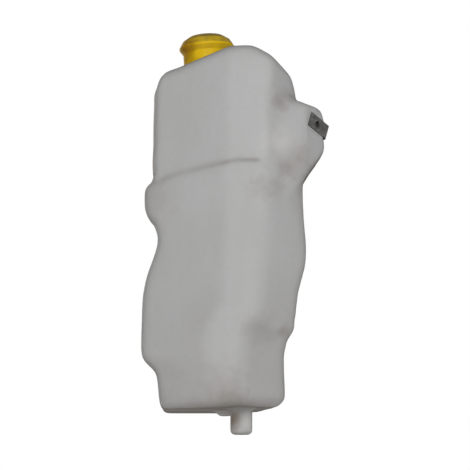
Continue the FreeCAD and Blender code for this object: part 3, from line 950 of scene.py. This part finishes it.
# %% Tank material
MILKY = srgb(177, 177, 178)
MILKY_SHADE = srgb(172, 172, 172)
CLOUD = srgb(164, 164, 165)
ROAD_DIRT_AND_SHADE = srgb(104, 96, 84)
WALL_TINT = (0.94, 0.935, 0.93, 1.0)
SCATTER_COLOUR = (1.0, 0.97, 0.92)
SCATTER_DEPTH = 20 * MM
FOOT_SHADE_TOP = 140 * MM
RUST_AND_SHADE = srgb(122, 106, 96)
SOIL_AND_SHADE = srgb(114, 108, 98)
EARTH_AND_SHADE = srgb(112, 96, 78)
PAINTED_HOLE_SHADE = srgb(34, 33, 31)
PAINTED_LIGHT_PALE = srgb(206, 206, 202)
STAINS_AND_PAINTED_LIGHT = [
    # Rust and painted shade in the fold at the top of the lug.
    ((39, -43, 303), 15, 0.4, RUST_AND_SHADE),
    # Dirt and painted shade under the lug.
    ((57, -38, 247), 26, 0.3, EARTH_AND_SHADE),
    # Rust and painted shade under the lug.
    ((44, -42, 234), 16, 0.26, RUST_AND_SHADE),
    # Painted shade: the inside of the bolt hole dark.
    ((72, -19, 285), 10, 0.95, PAINTED_HOLE_SHADE),
    # Painted light: a pale patch that lifts the shaded fold at the root of the lug.
    ((35, -45, 262), 26, 0.4, PAINTED_LIGHT_PALE),
    ((23, -50, 216), 26, 0.3, SOIL_AND_SHADE),
    # Painted shade at the left edge below the crease.
    ((-84, -25, 205), 36, 0.2, SOIL_AND_SHADE),
    ((42, -30, 75), 10, 0.35, RUST_AND_SHADE),
    # Painted shade in the scoop, soil-brown.
    ((18, -49, 74), 30, 0.13, SOIL_AND_SHADE),
    # Dirt and painted shade along the front of the foot and its lower edge.
    ((-20, -54, 20), 34, 0.2, EARTH_AND_SHADE),
    ((-10, -46, 2), 26, 0.3, EARTH_AND_SHADE),
    # Painted shade on the left side of the peg, earth-brown.
    ((-9, -8, -12), 15, 0.75, EARTH_AND_SHADE),
    # Painted light on the right side of the peg.
    ((8, -9, -14), 13, 0.45, PAINTED_LIGHT_PALE),
]


def bumps(tree, shader, height, strength, depth):
    """Lets a height disturb the light on a surface."""
    bump = add_node(tree, "ShaderNodeBump", Strength=strength, Distance=depth)
    join(tree, height, bump.inputs["Height"])
    join(tree, bump.outputs["Normal"], shader.inputs["Normal"])


def spot_mask(tree, place, radius, strength):
    """The mask of one spot, with its place and radius in millimetres."""
    mark = use_group(tree, stain_and_light_spot, Place=[part * MM for part in place], Radius=radius * MM)
    return combine(tree, "MULTIPLY", mark.outputs["Mask"], strength)


def deepen_edges(shader, tint_colour):
    """A coat that only tints, more the shallower it is looked through, as clear plastic does."""
    shader.inputs["Coat Weight"].default_value = 1.0
    shader.inputs["Coat IOR"].default_value = 1.0
    shader.inputs["Coat Tint"].default_value = tint_colour


def tank_material():
    material, tree, shader = new_material("cloudy_polyethylene")
    patches = use_group(tree, mottling, Scale=30.0, Stretch=0.3).outputs["Mask"]
    small = use_group(tree, mottling, Scale=150.0).outputs["Mask"]
    depth = add_node(tree, "ShaderNodeAttribute", attribute_name="hollow")
    # Hollows, the crease and undersides darkened: dirt and painted shade.
    hollow_under_top = use_group(tree, dirt_and_painted_shade, Under=0.25, Over=0.15, Scale=50.0)
    join(tree, remap(tree, depth.outputs["Fac"], 0.05, 1.0, 0.0, 0.5), hollow_under_top.inputs["Hollow"])
    colour = tint(tree, patches, MILKY, MILKY_SHADE)
    colour = tint(tree, remap(tree, small, 0.5, 1.0, 0.0, 0.2), colour, CLOUD)
    colour = tint(tree, hollow_under_top.outputs["Mask"], colour, ROAD_DIRT_AND_SHADE)
    coordinates = add_node(tree, "ShaderNodeTexCoord")
    height = add_node(tree, "ShaderNodeSeparateXYZ")
    join(tree, coordinates.outputs["Object"], height.inputs["Vector"])
    # Painted shade: the tank grows darker towards the foot.
    shade_towards_foot = remap(tree, height.outputs["Z"], FOOT_SHADE_TOP, 0.0, 0.0, 0.1)
    colour = tint(tree, shade_towards_foot, colour, SOIL_AND_SHADE)
    # Spots: stains, with painted shade and painted light among them.
    for place, radius, strength, stuff in STAINS_AND_PAINTED_LIGHT:
        colour = tint(tree, spot_mask(tree, place, radius, strength), colour, stuff)
    join(tree, colour, shader.inputs["Base Color"])
    join(tree, remap(tree, patches, 0.0, 1.0, 0.5, 0.6), shader.inputs["Roughness"])
    shader.inputs["Specular IOR Level"].default_value = 0.2
    deepen_edges(shader, WALL_TINT)
    shader.inputs["Subsurface Weight"].default_value = 0.5
    shader.inputs["Subsurface Radius"].default_value = SCATTER_COLOUR
    shader.inputs["Subsurface Scale"].default_value = SCATTER_DEPTH
    unevenness = use_group(tree, grain, Pits=600.0, Waves=55.0, Wave_Share=0.75)
    bumps(tree, shader, unevenness.outputs["Height"], 0.35, 0.6 * MM)
    return material


def dress(piece, material):
    piece.data.materials.clear()
    piece.data.materials.append(material)
    print(piece.name, "wears", material.name, len(material.node_tree.nodes), "nodes")


polyethylene = tank_material()
dress(tank, polyethylene)
dress(seam, polyethylene)

# %% [markdown]
# ## Yellow cap
# The cap is dyed plastic, smoother than the tank. Its colour lies deep, so the same kind of tinted coat
# deepens its outline. Its edges are a little duller where fingers pull it off, its left side is painted
# dark orange as shade, and the top is dulled, partly as dust and partly as painted shade.

# %% Cap material
YELLOW = srgb(230, 197, 30)
YELLOW_SHADE = srgb(222, 182, 24)
RUBBED_YELLOW = srgb(196, 168, 70)
CAP_DUST_AND_SHADE = srgb(136, 120, 62)
CAP_LEFT_SHADE = srgb(124, 70, 0)
CAP_TINT = (0.94, 0.91, 0.78, 1.0)
CAP_SHADE_PLACE = (-62, -8, 368)
CAP_SHADE_RADIUS = 26


def cap_material():
    material, tree, shader = new_material("yellow_cap_plastic")
    patches = use_group(tree, mottling, Scale=70.0).outputs["Mask"]
    # Dust and painted shade: the top and the undersides darker.
    hollow_under_top = use_group(tree, dirt_and_painted_shade, Under=0.4, Over=1.4, Scale=120.0).outputs["Mask"]
    worn = use_group(tree, rubbed_edges, Scale=260.0).outputs["Mask"]
    colour = tint(tree, patches, YELLOW, YELLOW_SHADE)
    colour = tint(tree, combine(tree, "MULTIPLY", worn, 0.2), colour, RUBBED_YELLOW)
    colour = tint(tree, hollow_under_top, colour, CAP_DUST_AND_SHADE)
    # Painted shade: the left side of the cap dark orange.
    colour = tint(tree, spot_mask(tree, CAP_SHADE_PLACE, CAP_SHADE_RADIUS, 0.75), colour, CAP_LEFT_SHADE)
    join(tree, colour, shader.inputs["Base Color"])
    join(tree, remap(tree, patches, 0.0, 1.0, 0.4, 0.5), shader.inputs["Roughness"])
    shader.inputs["Specular IOR Level"].default_value = 0.1
    deepen_edges(shader, CAP_TINT)
    shader.inputs["Subsurface Weight"].default_value = 0.1
    shader.inputs["Subsurface Scale"].default_value = 2 * MM
    unevenness = use_group(tree, grain, Pits=900.0, Waves=120.0, Wave_Share=0.5)
    bumps(tree, shader, unevenness.outputs["Height"], 0.25, 0.3 * MM)
    return material


dress(cap, cap_material())

# %% [markdown]
# ## Phosphated steel
# Spring nuts are stamped from spring steel and phosphated, which gives a dark, slightly patchy grey.
# Edges rub bright, and a little rust comes through.

# %% Nut material
STEEL = srgb(70, 70, 69)
STEEL_SHADE = srgb(50, 50, 49)
STEEL_RUST = srgb(96, 76, 56)
BARE_STEEL = srgb(140, 138, 132)


def nut_material():
    material, tree, shader = new_material("phosphated_steel")
    patches = use_group(tree, mottling, Scale=180.0).outputs["Mask"]
    specks = use_group(tree, mottling, Scale=420.0).outputs["Mask"]
    worn = use_group(tree, rubbed_edges, Scale=500.0).outputs["Mask"]
    colour = tint(tree, patches, STEEL, STEEL_SHADE)
    colour = tint(tree, remap(tree, specks, 0.75, 1.0, 0.0, 0.4), colour, STEEL_RUST)
    colour = tint(tree, combine(tree, "MULTIPLY", worn, 0.4), colour, BARE_STEEL)
    join(tree, colour, shader.inputs["Base Color"])
    join(tree, remap(tree, patches, 0.0, 1.0, 0.42, 0.6), shader.inputs["Roughness"])
    shader.inputs["Metallic"].default_value = 0.3
    unevenness = use_group(tree, grain, Pits=1500.0, Waves=300.0, Wave_Share=0.4)
    bumps(tree, shader, unevenness.outputs["Height"], 0.3, 0.15 * MM)
    return material


dress(nut, nut_material())

# %% [markdown]
# ## Rubber
# The grommet is black rubber: matt, with a bloom of grey dust that settles in patches.

# %% Grommet material
RUBBER = srgb(30, 30, 30)
RUBBER_PALE = srgb(46, 45, 43)
RUBBER_DUST = srgb(92, 86, 76)


def rubber_material():
    material, tree, shader = new_material("black_rubber")
    patches = use_group(tree, mottling, Scale=140.0).outputs["Mask"]
    hollow_under_top = use_group(tree, dirt_and_painted_shade, Under=0.3, Over=0.5, Scale=200.0).outputs["Mask"]
    colour = tint(tree, patches, RUBBER, RUBBER_PALE)
    colour = tint(tree, hollow_under_top, colour, RUBBER_DUST)
    join(tree, colour, shader.inputs["Base Color"])
    join(tree, remap(tree, patches, 0.0, 1.0, 0.62, 0.8), shader.inputs["Roughness"])
    unevenness = use_group(tree, grain, Pits=1200.0, Waves=250.0, Wave_Share=0.3)
    bumps(tree, shader, unevenness.outputs["Height"], 0.3, 0.2 * MM)
    return material


dress(grommet, rubber_material())
